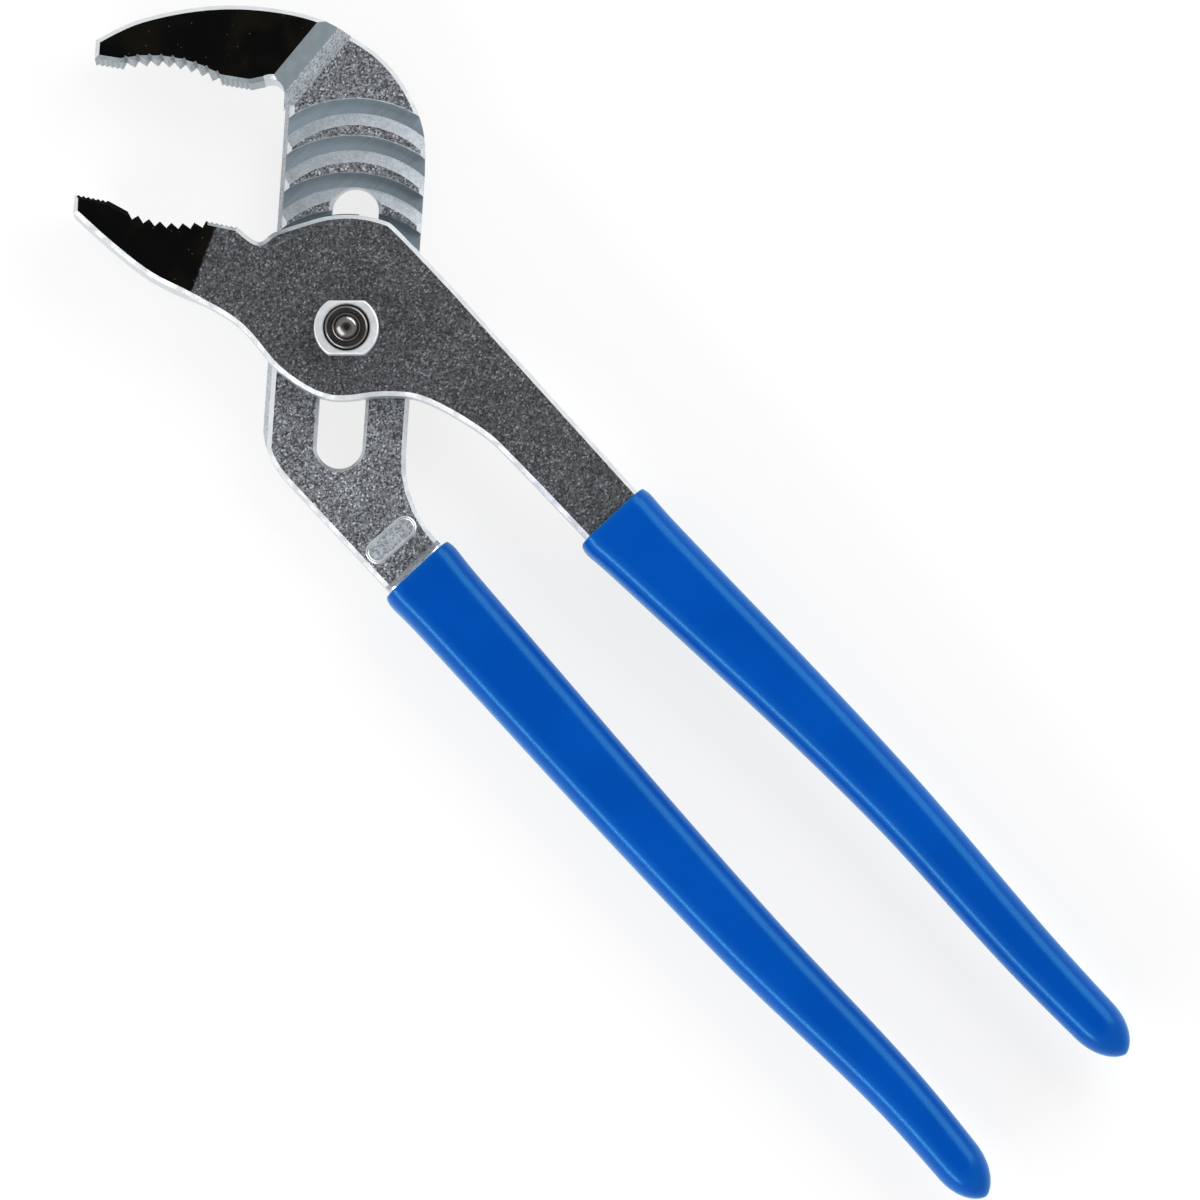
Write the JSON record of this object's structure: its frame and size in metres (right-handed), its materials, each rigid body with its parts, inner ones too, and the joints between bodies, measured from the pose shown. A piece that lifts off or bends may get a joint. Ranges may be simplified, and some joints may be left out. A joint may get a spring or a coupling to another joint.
{
  "type": "multigrip pliers",
  "caption": "Groove-joint multigrip pliers: toothed jaws at an angle to the handles, a grooved neck with a sliding pivot, and dipped plastic grips.",
  "frame": {"origin": "on the pivot axis, at the underside of the bolt head", "axes": "+Z along the pivot axis from the bolt head to the nut, +Y towards the head of the tool, handles along -Y"},
  "size_m": [0.0684, 0.2681, 0.0195],
  "materials": {
    "forged_steel": "grit-blasted and plated dark grey, jaws ground and blackened",
    "bolt_steel": "turned, dark",
    "nut_zinc": "bright zinc",
    "blue_vinyl": "glossy dipped vinyl"
  },
  "bodies": {
    "slotted_body": {"slotted_half": "forged_steel", "slotted_half_grip": "blue_vinyl"},
    "pivot": {"pivot_bolt": "bolt_steel", "pivot_nut": "nut_zinc"},
    "tongue_body": {"tongue_half": "forged_steel", "tongue_half_grip": "blue_vinyl"}
  },
  "joints": [
    {"name": "jaw_adjust", "type": "slide", "parent": "slotted_body", "child": "pivot", "axis": [0.7295, 0.684, 0], "range_m": [-0.0207, 0.0207]},
    {"name": "handle_pivot", "type": "hinge", "parent": "pivot", "child": "tongue_body", "pos_m": [0, 0, 0], "axis": [0, 0, 1], "range_deg": [-2.5, 58]}
  ]
}
